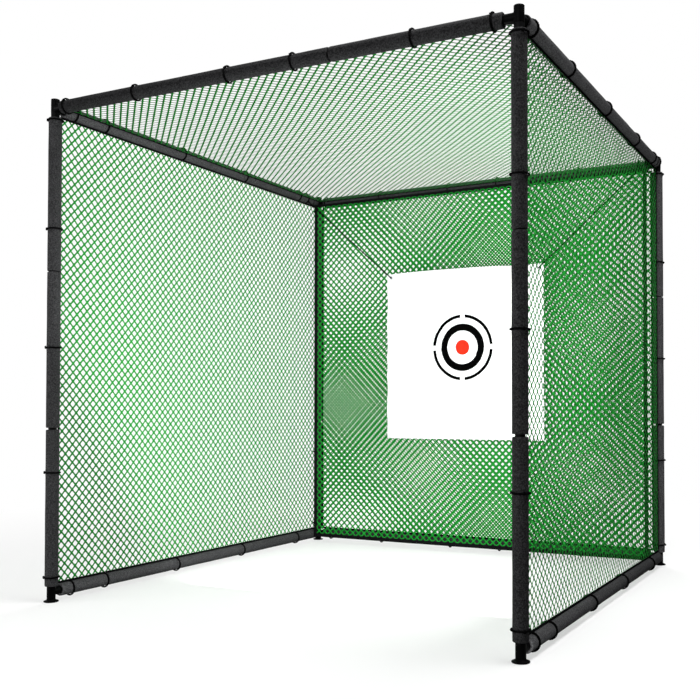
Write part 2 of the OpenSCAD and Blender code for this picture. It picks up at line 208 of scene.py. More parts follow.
def tube(pile, points, r, k=10, closed=False, radius=None):
    """A round closed tube along a path; radius is an optional factor per point."""
    p = np.asarray(points, float)
    t, n, b = frames(p, closed)
    a = np.arange(k) * 2 * np.pi / k
    rr = np.full(len(p), r) if radius is None else r * np.asarray(radius)
    ring = (np.cos(a)[None, :, None] * n[:, None] + np.sin(a)[None, :, None] * b[:, None]) * rr[:, None, None]
    v = (p[:, None] + ring).reshape(-1, 3)
    q = grid_faces(len(p), k, wrap_r=closed)
    s = lengths(p)
    uv = np.stack([np.repeat(s, k), np.tile(a / (2 * np.pi) * 2 * np.pi * r, len(p))], -1)
    if closed:
        pile.add(v, q, uv=uv)
        return
    # domed ends
    tris, extra, base = [], [], len(v)
    for end, sign in ((0, -1), (len(p) - 1, 1)):
        ring1 = p[end] + ring[end] * 0.7 + sign * t[end] * r * 0.6
        tip = p[end] + sign * t[end] * r * 0.85
        i0 = base + len(extra)
        extra += list(ring1) + [tip]
        i = np.arange(k)
        j = (i + 1) % k
        e = end * k
        q1 = np.stack([e + i, e + j, i0 + j, i0 + i], -1)
        t1 = np.stack([i0 + i, i0 + j, np.full(k, i0 + k)], -1)
        if sign < 0:
            q1, t1 = q1[:, ::-1], t1[:, ::-1]
        q = np.concatenate([q, q1])
        tris.append(t1)
    uv = np.concatenate([uv, np.zeros((len(extra), 2))])
    pile.add(np.concatenate([v, extra]), q, np.concatenate(tris), uv)


def cord(pile, points, r, pitch, plies=3, k=6, closed=False):
    """A twisted cord: plies wound round the path. r is the cord's radius."""
    p = np.asarray(points, float)
    t, n, b = frames(p, closed)
    seg = np.linalg.norm(np.roll(p, -1, 0) - p, axis=1)
    s = np.concatenate([[0], np.cumsum(seg)])
    total = s[-1] if closed else s[-2]
    s = s[:-1]
    turns = total / pitch
    if closed:
        turns = max(1, round(turns))
    off = r * (0.5 if plies == 3 else 0.46)
    pr = r - off
    for m in range(plies):
        ph = 2 * np.pi * (turns * s / total + m / plies)
        line = p + off * (np.cos(ph)[:, None] * n + np.sin(ph)[:, None] * b)
        tube(pile, line, pr * (1.12 if plies == 3 else 1.05), k, closed)


def path_points(pts, step):
    """Points spaced about step apart along a polyline."""
    pts = np.asarray(pts, float)
    out = []
    for a, b in zip(pts[:-1], pts[1:]):
        m = max(1, int(round(np.linalg.norm(b - a) / step)))
        out += [a + (b - a) * i / m for i in range(m)]
    return np.array(out + [pts[-1]])


def lathe(pile, profile, centre, axis=(0, 0, 1), k=48):
    """A closed solid of revolution; profile is (radius, height) from axis to axis."""
    prof = np.asarray(profile, float)
    ax = Vector(axis).normalized()
    rot = np.array(ax.to_track_quat("Z", "Y").to_matrix())
    a = np.arange(k) * 2 * np.pi / k
    inner = prof[1:-1]
    ring = np.stack([
        inner[:, 0][:, None] * np.cos(a), inner[:, 0][:, None] * np.sin(a),
        np.repeat(inner[:, 1][:, None], k, 1)], -1).reshape(-1, 3)
    v = np.concatenate([ring, [[0, 0, prof[0, 1]], [0, 0, prof[-1, 1]]]])
    q = grid_faces(len(inner), k)
    i = np.arange(k)
    j = (i + 1) % k
    n0, n1 = len(ring), len(ring) + 1
    e = (len(inner) - 1) * k
    t = np.concatenate([
        np.stack([j, i, np.full(k, n0)], -1),
        np.stack([e + i, e + j, np.full(k, n1)], -1)])
    pile.add(v @ rot.T + np.array(centre), q, t)


def knot(pile, centre, size, r, axis=(0, 1, 0), turn=0.0):
    """A tight overhand knot, as a trefoil of cord."""
    t = np.linspace(0, 2 * np.pi, 56, endpoint=False)
    p = np.stack([np.sin(t) + 2 * np.sin(2 * t), np.cos(t) - 2 * np.cos(2 * t), -1.15 * np.sin(3 * t)], -1)
    c, s = math.cos(turn), math.sin(turn)
    p = p @ np.array([[c, -s, 0], [s, c, 0], [0, 0, 1]]).T
    rot = np.array(Vector(axis).normalized().to_track_quat("Z", "Y").to_matrix())
    tube(pile, (p * size / 3) @ rot.T + np.array(centre), r, 8, closed=True)


# ---------------------------------------------------------------- materials
def node_mat(name):
    m = bpy.data.materials.new(name)
    m.use_nodes = True
    nt = m.node_tree
    bsdf = nt.nodes["Principled BSDF"]
    return m, nt, bsdf


def nd(nt, kind, **props):
    n = nt.nodes.new(kind)
    for key, val in props.items():
        if key.startswith("in_"):
            n.inputs[key[3:]].default_value = val
        else:
            setattr(n, key, val)
    return n


def obj_coords(nt):
    return nd(nt, "ShaderNodeTexCoord").outputs["Object"]


def noise_tex(nt, vec, scale, detail=3.0, rough=0.55, distortion=0.0):
    n = nd(nt, "ShaderNodeTexNoise")
    n.inputs["Scale"].default_value = scale
    n.inputs["Detail"].default_value = detail
    n.inputs["Roughness"].default_value = rough
    n.inputs["Distortion"].default_value = distortion
    nt.links.new(vec, n.inputs["Vector"])
    return n.outputs["Fac"]


def ramp(nt, fac, stops):
    n = nd(nt, "ShaderNodeValToRGB")
    el = n.color_ramp.elements
    while len(el) < len(stops):
        el.new(0.5)
    for e, (pos, col) in zip(el, stops):
        e.position = pos
        e.color = (*col, 1.0) if len(col) == 3 else col
    nt.links.new(fac, n.inputs["Fac"])
    return n.outputs["Color"]


def math_node(nt, op, a, b=None, c=None, clamp=False):
    n = nd(nt, "ShaderNodeMath", operation=op, use_clamp=clamp)
    for i, v in enumerate((a, b, c)):
        if v is None:
            continue
        if isinstance(v, (int, float)):
            n.inputs[i].default_value = v
        else:
            nt.links.new(v, n.inputs[i])
    return n.outputs[0]


def mix_rgb(nt, fac, a, b, mode="MIX"):
    n = nd(nt, "ShaderNodeMix", data_type="RGBA", blend_type=mode)
    for sock, v in ((n.inputs[0], fac), (n.inputs[6], a), (n.inputs[7], b)):
        if isinstance(v, (int, float)):
            sock.default_value = v
        elif isinstance(v, tuple):
            sock.default_value = (*v, 1.0) if len(v) == 3 else v
        else:
            nt.links.new(v, sock)
    return n.outputs[2]


def map_range(nt, v, lo, hi, a=0.0, b=1.0):
    n = nd(nt, "ShaderNodeMapRange")
    n.inputs["From Min"].default_value = lo
    n.inputs["From Max"].default_value = hi
    n.inputs["To Min"].default_value = a
    n.inputs["To Max"].default_value = b
    nt.links.new(v, n.inputs["Value"])
    return n.outputs["Result"]


def add_bump(nt, bsdf, height, strength, dist, prev=None):
    n = nd(nt, "ShaderNodeBump")
    n.inputs["Strength"].default_value = strength
    n.inputs["Distance"].default_value = dist
    nt.links.new(height, n.inputs["Height"])
    if prev is not None:
        nt.links.new(prev, n.inputs["Normal"])
    nt.links.new(n.outputs["Normal"], bsdf.inputs["Normal"])
    return n.outputs["Normal"]


def foam_material():
    m, nt, b = node_mat("foam_sleeve")
    co = obj_coords(nt)
    grain = noise_tex(nt, co, 420, 4, 0.7)
    cells = noise_tex(nt, co, 1300, 2, 0.6)
    speck = noise_tex(nt, co, 130, 2, 0.8)
    broad = noise_tex(nt, co, 9, 3, 0.6)
    base = ramp(nt, grain, [(0.25, (0.0135, 0.0135, 0.0140)), (0.5, (0.0270, 0.0270, 0.0280)), (0.78, (0.059, 0.0585, 0.0605))])
    col = mix_rgb(nt, 0.8, base, ramp(nt, speck, [(0.36, (0.22, 0.22, 0.225)), (0.64, (1.9, 1.9, 1.91))]), "MULTIPLY")
    col = mix_rgb(nt, 0.55, col, ramp(nt, broad, [(0.3, (0.70, 0.70, 0.71)), (0.7, (1.0, 1.0, 1.0))]), "MULTIPLY")
    nt.links.new(col, b.inputs["Base Color"])
    nt.links.new(map_range(nt, grain, 0.2, 0.8, 0.78, 0.95), b.inputs["Roughness"])
    b.inputs["Specular IOR Level"].default_value = 0.10
    n1 = add_bump(nt, b, grain, 0.5, 0.0012)
    add_bump(nt, b, cells, 0.35, 0.0005, n1)
    return m


def plastic_material(name, base, rough=0.42, grain=0.25):
    m, nt, b = node_mat(name)
    co = obj_coords(nt)
    fine = noise_tex(nt, co, 900, 2, 0.6)
    broad = noise_tex(nt, co, 22, 4, 0.6)
    hi = tuple(c * 1.7 for c in base)
    lo = tuple(c * 0.65 for c in base)
    nt.links.new(ramp(nt, broad, [(0.3, lo), (0.55, base), (0.8, hi)]), b.inputs["Base Color"])
    nt.links.new(map_range(nt, broad, 0.25, 0.75, rough - 0.08, rough + 0.14), b.inputs["Roughness"])
    b.inputs["Specular IOR Level"].default_value = 0.04
    add_bump(nt, b, fine, grain, 0.0004)
    return m


def tube_material():
    m, nt, b = node_mat("frame_tube")
    co = obj_coords(nt)
    orange = noise_tex(nt, co, 260, 3, 0.5)
    broad = noise_tex(nt, co, 16, 4, 0.6)
    nt.links.new(ramp(nt, broad, [(0.3, (0.0018, 0.0018, 0.0020)), (0.7, (0.0040, 0.0040, 0.0044))]), b.inputs["Base Color"])
    nt.links.new(map_range(nt, orange, 0.3, 0.7, 0.42, 0.58), b.inputs["Roughness"])
    b.inputs["Specular IOR Level"].default_value = 0.06
    add_bump(nt, b, orange, 0.2, 0.0004)
    return m


def cord_material(name, base):
    m, nt, b = node_mat(name)
    co = obj_coords(nt)
    fibre = noise_tex(nt, co, 1500, 3, 0.65)
    broad = noise_tex(nt, co, 60, 3, 0.6)
    lo = tuple(c * 0.5 for c in base)
    hi = tuple(c * 1.9 for c in base)
    col = ramp(nt, fibre, [(0.25, lo), (0.5, base), (0.8, hi)])
    col = mix_rgb(nt, 0.4, col, ramp(nt, broad, [(0.3, (0.6, 0.6, 0.6)), (0.7, (1, 1, 1))]), "MULTIPLY")
    nt.links.new(col, b.inputs["Base Color"])
    b.inputs["Roughness"].default_value = 0.8
    b.inputs["Specular IOR Level"].default_value = 0.03
    add_bump(nt, b, fibre, 0.5, 0.0005)
    return m


def net_material():
    """Braided polyethylene twine: fine fibres."""
    m, nt, b = node_mat("netting")
    co = obj_coords(nt)
    fibre = noise_tex(nt, co, 1100, 3, 0.65)
    braid = noise_tex(nt, co, 380, 2, 0.5, 0.6)
    broad = noise_tex(nt, co, 3.0, 3, 0.6)
    base = ramp(nt, fibre, [(0.2, (0.004, 0.17, 0.012)), (0.5, (0.009, 0.255, 0.024)), (0.85, (0.024, 0.34, 0.050))])
    col = mix_rgb(nt, 0.35, base, ramp(nt, broad, [(0.3, (0.78, 0.84, 0.80)), (0.7, (1.0, 1.0, 1.0))]), "MULTIPLY")
    nt.links.new(col, b.inputs["Base Color"])
    nt.links.new(map_range(nt, fibre, 0.2, 0.8, 0.5, 0.72), b.inputs["Roughness"])
    b.inputs["Specular IOR Level"].default_value = 0.06
    n1 = add_bump(nt, b, braid, 0.5, 0.0008)
    add_bump(nt, b, fibre, 0.3, 0.0004, n1)
    return m


def tape_material():
    """Woven tape: ribs across the run."""
    m, nt, b = node_mat("net_border")
    uv = nd(nt, "ShaderNodeUVMap", uv_map="run")
    sep = nd(nt, "ShaderNodeSeparateXYZ")
    nt.links.new(uv.outputs["UV"], sep.inputs[0])
    s, t = sep.outputs[0], sep.outputs[1]
    rib = math_node(nt, "SINE", math_node(nt, "MULTIPLY", s, 2 * math.pi / 0.0016))
    weft = math_node(nt, "SINE", math_node(nt, "MULTIPLY", t, 2 * math.pi / 0.0012))
    weave = math_node(nt, "MULTIPLY", rib, weft)
    fibre = noise_tex(nt, obj_coords(nt), 1400, 3, 0.6)
    h = math_node(nt, "ADD", math_node(nt, "MULTIPLY", weave, 0.5), fibre)
    col = ramp(nt, h, [(0.1, (0.0015, 0.0015, 0.0018)), (0.6, (0.004, 0.004, 0.0045)), (1.0, (0.010, 0.010, 0.011))])
    nt.links.new(col, b.inputs["Base Color"])
    b.inputs["Roughness"].default_value = 0.85
    b.inputs["Specular IOR Level"].default_value = 0.03
    add_bump(nt, b, h, 0.5, 0.0005)
    return m


def metal_material():
    m, nt, b = node_mat("eyelet")
    co = obj_coords(nt)
    br = noise_tex(nt, co, 700, 3, 0.6)
    nt.links.new(ramp(nt, br, [(0.3, (0.42, 0.42, 0.44)), (0.7, (0.62, 0.62, 0.64))]), b.inputs["Base Color"])
    b.inputs["Metallic"].default_value = 1.0
    nt.links.new(map_range(nt, br, 0.3, 0.7, 0.25, 0.42), b.inputs["Roughness"])
    add_bump(nt, b, br, 0.15, 0.0003)
    return m


MAT = {
    "foam": foam_material(),
    "connector": plastic_material("connector", (0.0016, 0.0016, 0.0018), 0.40),
    "foot": plastic_material("foot", (0.0016, 0.0016, 0.0018), 0.48, 0.4),
    "cap": plastic_material("cap", (0.0018, 0.0018, 0.0020), 0.38),
    "tube": tube_material(),
    "tie": cord_material("tie_cord", (0.0022, 0.0022, 0.0024)),
    "rope": cord_material("rope", (0.0026, 0.0026, 0.0028)),
    "cord": cord_material("target_cord", (0.0022, 0.0022, 0.0024)),
    "net": net_material(),
    "tape": tape_material(),
    "eyelet": metal_material(),
}


def dress(ob, mat):
    ob.data.materials.clear()
    ob.data.materials.append(mat)


def piece(ob, body, mat, slot, *nodes):
    dress(ob, mat)
    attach(ob, body)
    if nodes:
        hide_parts(*nodes)
    return ob


# ---------------------------------------------------------------- ties
TIES = []          # (centre, axis index)
for node in ("post_ties", "top_beam_ties", "bottom_beam_ties"):
    pile = Pile()
    for k, co in enumerate(islands(node)):
        lo, hi = co.min(0), co.max(0)
        ax = int(np.argmin(hi - lo))
        c = (lo + hi) / 2
        TIES.append((c, ax))
        big = (hi - lo).max() / 2
        thick = (hi - lo).min()
        ring_r = big - thick / 2 + 0.0009
        a = np.linspace(0, 2 * np.pi, 84, endpoint=False)
        u, v = [np.eye(3)[i] for i in range(3) if i != ax]
        pts = c + ring_r * (np.cos(a)[:, None] * u + np.sin(a)[:, None] * v)
        # the ring sits a little aslant on the foam
        tilt = rng.uniform(-1, 1, 2) * 0.0012
        pts = pts + np.eye(3)[ax] * (tilt[0] * np.cos(a) + tilt[1] * np.sin(a))[:, None]
        cord(pile, pts, thick / 2 * 1.32, 0.034, plies=3, k=7, closed=True)
        # its knot, on the side away from the cage
        out = np.array([np.sign(c[0]) if abs(c[0]) > 0.9 * PX else 0.0,
                        np.sign(c[1]) if abs(c[1]) > 0.9 * PY else 0.0,
                        (1.0 if c[2] > ZT - 0.01 else (-1.0 if c[2] < ZB + 0.01 else 0.0))])
        out[ax] = 0
        if np.linalg.norm(out) > 0:
            out /= np.linalg.norm(out)
            knot(pile, c + out * (ring_r - 0.0008), 0.0066, 0.0036, out, rng.uniform(0, 6))
    piece(pile.object(node.replace("ties", "tie_cords")), "cage", MAT["tie"], "tie_cord", node)


# ---------------------------------------------------------------- foam
def foam_piece(node):
    pile = Pile()
    K = 40
    for si, co in enumerate(islands(node)):
        lo, hi = co.min(0), co.max(0)
        ax = int(np.argmax(hi - lo))
        a0, a1 = lo[ax], hi[ax]
        c = (lo + hi) / 2
        near = [t[ax] for t, tax in TIES if tax == ax
                and np.linalg.norm(np.delete(t - c, ax)) < 0.01 and a0 - 0.03 < t[ax] < a1 + 0.03]
        st = list(np.arange(a0 + 0.03, a1 - 0.015, 0.028))
        for t in near:
            st = [s for s in st if abs(s - t) > 0.026]
            st += [t + d for d in (-0.024, -0.016, -0.011, -0.0075, -0.0045, -0.0015, 0.0015, 0.0045, 0.0075, 0.011, 0.016, 0.024)]
        ends = [0.0, 0.0006, 0.0016, 0.0032, 0.0055, 0.010, 0.017]
        st = [s for s in st if a0 + 0.019 < s < a1 - 0.019]
        st = sorted(st + [a0 + e for e in ends] + [a1 - e for e in ends])
        st = np.array(st)
        rounds = 0.0055
        e = np.minimum(st - a0, a1 - st)
        x = np.clip(1 - e / rounds, 0, 1)
        r = np.full(len(st), FOAM_R) - rounds * (1 - np.sqrt(np.clip(1 - x * x, 0, 1)))
        for t in near:
            d = (st - t) / 0.0050
            r -= 0.0016 * np.exp(-d * d)
            d2 = (np.abs(st - t) - 0.014) / 0.008
            r += 0.0006 * np.exp(-d2 * d2)
        ang = np.arange(K) * 2 * np.pi / K
        nz = np.array([[noise.noise(Vector((si * 7 + c[0] * 3 + s * 6.0, c[1] * 3 + math.cos(q) * 0.9, c[2] * 3 + math.sin(q) * 0.9)))
                        for q in ang] for s in st])
        # a shallow lengthwise seam where the sleeve was slit to go round the tube
        seam_at = 2.2 + 0.5 * si
        dseam = np.abs((ang - seam_at + np.pi) % (2 * np.pi) - np.pi) * FOAM_R
        R = r[:, None] + nz * 0.0009 - 0.0022 * np.exp(-(dseam / 0.0022) ** 2)[None, :]
        inner = TUBE_R + 0.0006
        o1, o2 = [np.eye(3)[i] for i in range(3) if i != ax]
        if np.dot(np.cross(o1, o2), np.eye(3)[ax]) < 0:
            o1, o2 = o2, o1
        rad = np.cos(ang)[:, None] * o1 + np.sin(ang)[:, None] * o2
        base = np.array(c)
        base[ax] = 0
        outer = base + st[:, None, None] * np.eye(3)[ax] + R[:, :, None] * rad[None]
        ins = np.array([a1 - 0.0008, (a0 + a1) / 2, a0 + 0.0008])
        inn = base + ins[:, None, None] * np.eye(3)[ax] + inner * rad[None]
        rings = np.concatenate([outer, inn])
        pile.add(rings.reshape(-1, 3), grid_faces(len(rings), K, wrap_r=True))
    return piece(pile.object(node.replace("_foam", "_foam_sleeves")), "cage", MAT["foam"], "foam_sleeve", node)


FOAMS = [n for n in NODES if n.endswith("_foam")]
for n in sorted(FOAMS):
    foam_piece(n)


# ---------------------------------------------------------------- connectors
def connector_piece(node):
    """Smoothly blended moulded corner: upright sleeve, one or two arms."""
    lo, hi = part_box(node)
    sx = 1 if (lo.x + hi.x) > 0 else -1
    sy = 1 if (lo.y + hi.y) > 0 else -1
    top = (lo.z + hi.z) / 2 > 1
    zc = ZT if top else ZB
    out = (hi.z - zc) if top else (zc - lo.z)
    arms = 2 if (hi.x - lo.x) > 0.1 else 1
    up = -1 if top else 1
    parts = Pile()

    def rod(p, q, r, lip=0.0):
        p, q = np.array(p, float), np.array(q, float)
        L = np.linalg.norm(q - p)
        prof = [(0, 0), (r - 0.001, 0), (r, 0.001)]
        if lip:
            prof += [(r, L - 0.012), (r + lip, L - 0.0105), (r + lip, L - 0.0015)]
        prof += [(r + lip, L - 0.001), (r + lip - 0.001, L), (0, L)]
        lathe(parts, prof, p, q - p, 64)

    c = np.array([sx * PX, sy * PY, zc])
    rod(c - [0, 0, up * out], c + [0, 0, up * 0.028], TUBE_R + 0.0004)
    rod(c, c - [0, sy * 0.072, 0], TUBE_R - 0.0001)
    if arms == 2:
        rod(c, c - [sx * 0.072, 0, 0], TUBE_R)
    ob = parts.object("tmp_" + node)
    # blend the three bars into one moulding with small fillets
    md = ob.modifiers.new("r", "REMESH")
    md.mode = "VOXEL"
    md.voxel_size = 0.0022
    md.use_smooth_shade = True
    sm = ob.modifiers.new("s", "SMOOTH")
    sm.factor = 0.5
    sm.iterations = 5
    dg = bpy.context.evaluated_depsgraph_get()
    me = bpy.data.meshes.new_from_object(ob.evaluated_get(dg))
    bpy.data.objects.remove(ob)
    new = bpy.data.objects.new(node.replace("_connector", "_corner"), me)
    bpy.context.scene.collection.objects.link(new)
    for p in me.polygons:
        p.use_smooth = True
    return piece(new, "cage", MAT["connector"], "connector", node)


for n in sorted(NODES):
    if n.endswith("_connector"):
        connector_piece(n)


# ---------------------------------------------------------------- feet, caps, tubes
def foot_piece(node):
    lo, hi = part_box(node)
    c = (lo + hi) / 2
    R = (hi.x - lo.x) / 2
    T = TUBE_R
    prof = [(0, 0.0012), (R - 0.030, 0.0012), (R - 0.028, 0.0), (R - 0.022, 0.0), (R - 0.020, 0.0012), (R - 0.016, 0.0012),
            (R - 0.014, 0.0), (R - 0.004, 0.0), (R - 0.0012, 0.0009), (R, 0.0030),
            (R, 0.0052), (R - 0.0008, 0.0070), (R - 0.003, 0.0081), (T + 0.012, 0.0088), (T + 0.0075, 0.0100),
            (T + 0.0042, 0.0122), (T + 0.0018, 0.0147), (T + 0.0006, 0.0168), (T + 0.0003, 0.0172), (T - 0.0022, 0.0172),
            (T - 0.0024, 0.038), (T - 0.0035, 0.0408), (0, 0.041)]
    pile = Pile()
    lathe(pile, prof, (c.x, c.y, 0), (0, 0, 1), 72)
    return piece(pile.object(node + "_pad"), "cage", MAT["foot"], "foot", node)


for n in sorted(NODES):
    if n.endswith("_foot"):
        foot_piece(n)

pile = Pile()
clo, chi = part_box("top_caps")
T = TUBE_R
for sx in (-1, 1):
    for sy in (-1, 1):
        z = chi.z - 0.005
        lathe(pile, [(0, z - 0.020), (T - 0.004, z - 0.020), (T - 0.0026, z - 0.018), (T - 0.0024, z - 0.0004),
                     (T + 0.0003, z - 0.0004), (T + 0.0005, z + 0.0006), (T + 0.0003, z + 0.0018), (T - 0.0010, z + 0.0032),
                     (T - 0.0035, z + 0.0042), (T - 0.009, z + 0.0048), (0.004, z + 0.0050), (0, z + 0.0050)],
              (sx * PX, sy * PY, 0), (0, 0, 1), 64)
piece(pile.object("stub_caps"), "cage", MAT["cap"], "cap", "top_caps")

for n in NODES:
    if n.endswith("_tube"):
        dress(NODES[n], MAT["tube"])


# ---------------------------------------------------------------- nets
PITCH = 0.055            # diagonal of one mesh
KNOT_R = 0.0088          # reach of a knot along each diagonal
STRAND_W = 0.0050        # half of a strand's width and thickness
STRAND_T = 0.0006


def lattice(name, nu, nv, du, dv, place, knot_r, half_w, half_t, jitter=0.0004):
    """A knotted diamond net as one closed surface.  Knots stand at the corners
    and the middle of each du by dv cell; place(u, v) gives a point and the
    panel's normal there."""
    ia, ja = np.meshgrid(np.arange(nu + 1), np.arange(nv + 1), indexing="ij")
    ib, jb = np.meshgrid(np.arange(nu), np.arange(nv), indexing="ij")
    A = np.stack([ia * du, ja * dv], -1).reshape(-1, 2)
    B = np.stack([(ib + 0.5) * du, (jb + 0.5) * dv], -1).reshape(-1, 2)
    g = np.random.default_rng(sum(map(ord, name)))
    jit = g.uniform(-jitter, jitter, B.shape)
    B = B + jit
    K = np.concatenate([A, B])
    nA = len(A)
    inner = np.ones(len(K))
    # knot vertices: 0 F, 1 Bk, 2 N, 3 S, 4 E, 5 W
    size = 1 + g.uniform(-0.08, 0.08, len(K))
    off = np.array([[0, 0], [0, 0], [0, 1], [0, -1], [1, 0], [-1, 0]]) * knot_r
    kuv = (K[:, None] + off[None] * size[:, None, None])
    # knots on the panel's edges end just past their middles
    kuv[..., 0] = np.clip(kuv[..., 0], -0.0025, nu * du + 0.0025)
    kuv[..., 1] = np.clip(kuv[..., 1], -0.0025, nv * dv + 0.0025)
    kw = np.array([1, -1, 0, 0, 0, 0]) * half_t * 1.35
    kw = np.repeat(kw[None], len(K), 0) * size[:, None]
    aid = lambda i, j: i * (nv + 1) + j
    bid = lambda i, j: nA + i * nv + j
    bi, bj = ib.ravel(), jb.ravel()
    kinds = [  # end knot, start left, right, end left, right, direction
        (aid(bi + 1, bj + 1), 2, 4, 5, 3, (1, 1)),
        (aid(bi, bj + 1), 5, 2, 3, 4, (-1, 1)),
        (aid(bi + 1, bj), 4, 3, 2, 5, (1, -1)),
        (aid(bi, bj), 3, 5, 4, 2, (-1, -1)),
    ]
    start = bid(bi, bj)
    nK = len(K) * 6
    muv, mw, quads = [], [], []
    base = nK
    for end, sl, sr, el, er, d in kinds:
        mpt = (K[start] + K[end]) / 2
        dirn = np.array(d) / math.sqrt(2)
        left = np.array([-dirn[1], dirn[0]])
        w = half_w * (1 + g.uniform(-0.06, 0.06, len(start)))
        muv.append(np.stack([mpt + left * w[:, None], mpt, mpt - left * w[:, None], mpt], 1))
        mw.append(np.stack([np.zeros(len(start)), np.full(len(start), half_t), np.zeros(len(start)), np.full(len(start), -half_t)], 1))
        m = base + np.arange(len(start))[:, None] * 4 + np.arange(4)
        s = start[:, None] * 6 + np.array([sl, 0, sr, 1])
        e = end[:, None] * 6 + np.array([el, 0, er, 1])
        for p, q in ((s, m), (m, e)):
            for c in range(4):
                c2 = (c + 1) % 4
                quads.append(np.stack([p[:, c], p[:, c2], q[:, c2], q[:, c]], -1))
        base += len(start) * 4
    # close the knots along the panel's edges
    caps = []
    for i in range(nu + 1):
        for j in range(nv + 1):
            if 0 < i < nu and 0 < j < nv:
                continue
            k = aid(i, j) * 6
            if i == nu or j == nv:
                caps.append([k + 2, k, k + 4, k + 1])
            if i == 0 or j == nv:
                caps.append([k + 5, k, k + 2, k + 1])
            if i == nu or j == 0:
                caps.append([k + 4, k, k + 3, k + 1])
            if i == 0 or j == 0:
                caps.append([k + 3, k, k + 5, k + 1])
    quads = np.concatenate(quads + [np.array(caps)])
    uvs = np.concatenate([kuv.reshape(-1, 2)] + [m.reshape(-1, 2) for m in muv])
    ws = np.concatenate([kw.ravel()] + [m.ravel() for m in mw])
    P, N = place(uvs[:, 0], uvs[:, 1])
    return make_mesh(name, P + N * ws[:, None], quads)


def hump(u, v, U, V):
    """1 in the middle of a panel, 0 at its edges."""
    return np.clip(4 * (u / U) * (1 - u / U), 0, 1) ** 0.75 * np.clip(4 * (v / V) * (1 - v / V), 0, 1) ** 0.75


def soft(u, v, seed, f=1.0):
    return (np.sin(2.3 * f * u + 1.7 * seed) * np.cos(1.9 * f * v + 0.9 * seed)
            + 0.5 * np.sin(4.1 * f * u - 2.9 * f * v + 2.3 * seed)
            + 0.3 * np.sin(7.7 * f * u + 5.1 * f * v + seed))


def flat_panel(origin, eu, ev, U, V, depth, seed, sag=0.0):
    """Panel surface with shallow waves that die out at the tied edges."""
    origin, eu, ev = np.array(origin, float), np.array(eu, float), np.array(ev, float)
    en = np.cross(eu, ev)

    def place(u, v):
        h = hump(u, v, U, V)
        w = depth * h * soft(u, v, seed)
        P = origin + u[:, None] * eu + v[:, None] * ev + w[:, None] * en
        P[:, 2] -= sag * h
        return P, np.repeat(en[None], len(u), 0)

    return place


def panel_net(node, origin, eu, ev, U, V, depth, seed, sag, name, half_w=STRAND_W):
    """Whole meshes, centred between U and V, whose ends lie inside the border."""
    nu, nv = round(U / PITCH), round(V / PITCH)
    o = np.array(origin) + np.array(eu) * (U - nu * PITCH) / 2 + np.array(ev) * (V - nv * PITCH) / 2
    place = flat_panel(o, eu, ev, nu * PITCH, nv * PITCH, depth, seed, sag)
    ob = lattice(name, nu, nv, PITCH, PITCH, place, KNOT_R * half_w / STRAND_W, half_w, STRAND_T)
    return piece(ob, "cage", MAT["net"], "netting", node)


def tape(pile, corners, widths, thick, en, place=None, step=0.03):
    """Woven border: a flat band round a rectangle, mitred at the corners.
    corners run round the outer edge, widths has one band width for each side,
    and en is the panel's normal."""
    c = np.array(corners, float)
    en = np.array(en, float)
    mids = c.mean(0)
    pts, ins, seg = [], [], []
    for i in range(4):
        a, b = c[i], c[(i + 1) % 4]
        d = (b - a) / np.linalg.norm(b - a)
        inn = np.cross(en, d)
        if np.dot(mids - a, inn) < 0:
            inn = -inn
        a2 = a + inn * widths[i] + d * widths[i - 1]
        b2 = b + inn * widths[i] - d * widths[(i + 1) % 4]
        m = max(2, int(round(np.linalg.norm(b - a) / step)))
        f = np.arange(m)[:, None] / m
        pts.append(a + (b - a) * f)
        ins.append(a2 + (b2 - a2) * f)
    outer, inner = np.concatenate(pts), np.concatenate(ins)
    # cross-section from outer edge to inner edge and back, slightly puffed
    h = thick / 2
    sec = [(0.0, -0.35), (0.0, 0.35), (0.06, 0.9), (0.3, 1.0), (0.5, 0.92), (0.7, 1.0), (0.94, 0.9), (1.0, 0.35),
           (1.0, -0.35), (0.94, -0.9), (0.7, -1.0), (0.5, -0.92), (0.3, -1.0), (0.06, -0.9)]
    along = lengths(outer)
    P, UV = [], []
    for f, w in sec:
        base = outer + (inner - outer) * f
        if place is not None:
            base = place(base)
        P.append(base + en * w * h)
        UV.append(np.stack([along, np.full(len(along), f * widths[0])], -1))
    P = np.stack(P, 1)
    UV = np.stack(UV, 1)
    n = len(outer)
    pile.add(P.reshape(-1, 3), grid_faces(n, len(sec), wrap_r=True, flip=True), uv=UV.reshape(-1, 2))


E = FOAM_R + 0.00015
BW = 0.0135
blo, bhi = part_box("back_net_border")

